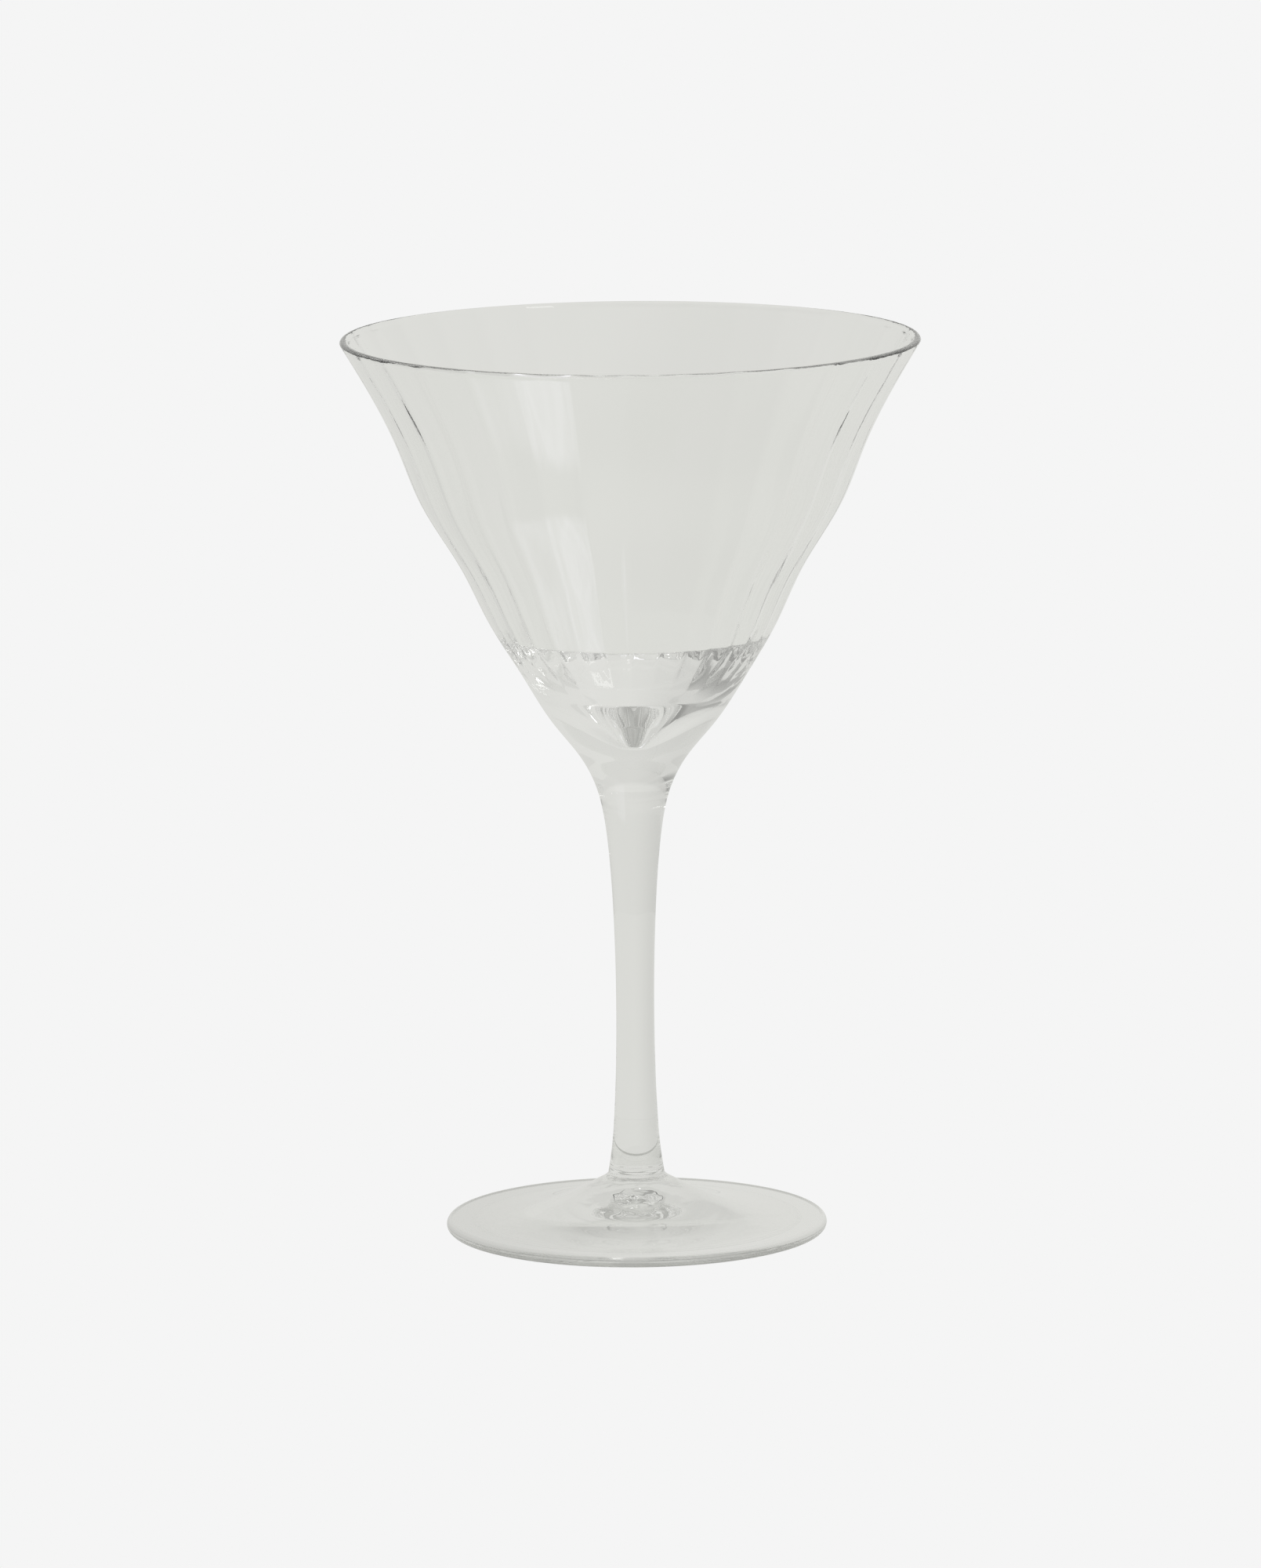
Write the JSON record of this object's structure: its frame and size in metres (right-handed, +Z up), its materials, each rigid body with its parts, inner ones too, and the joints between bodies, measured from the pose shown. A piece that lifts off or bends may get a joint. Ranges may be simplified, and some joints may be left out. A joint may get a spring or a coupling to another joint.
{
  "type": "martini glass",
  "caption": "Stemmed martini glass: wide flared bowl with shallow optic ribs and a thick solid base, slim waisted stem and flat round foot.",
  "frame": {"origin": "centre of the standing ring under the foot, on the surface the glass stands on", "axes": "+Z up along the axis of the glass, -Y towards the viewer, +X to the viewer's right"},
  "size_m": [0.1148, 0.1148, 0.18],
  "materials": {
    "bowl_glass": "clear, fire-polished",
    "stem_glass": "clear, fire-polished",
    "foot_glass": "clear, fire-polished"
  },
  "bodies": {
    "root": {"bowl": "bowl_glass", "stem": "stem_glass", "foot": "foot_glass"}
  },
  "joints": []
}
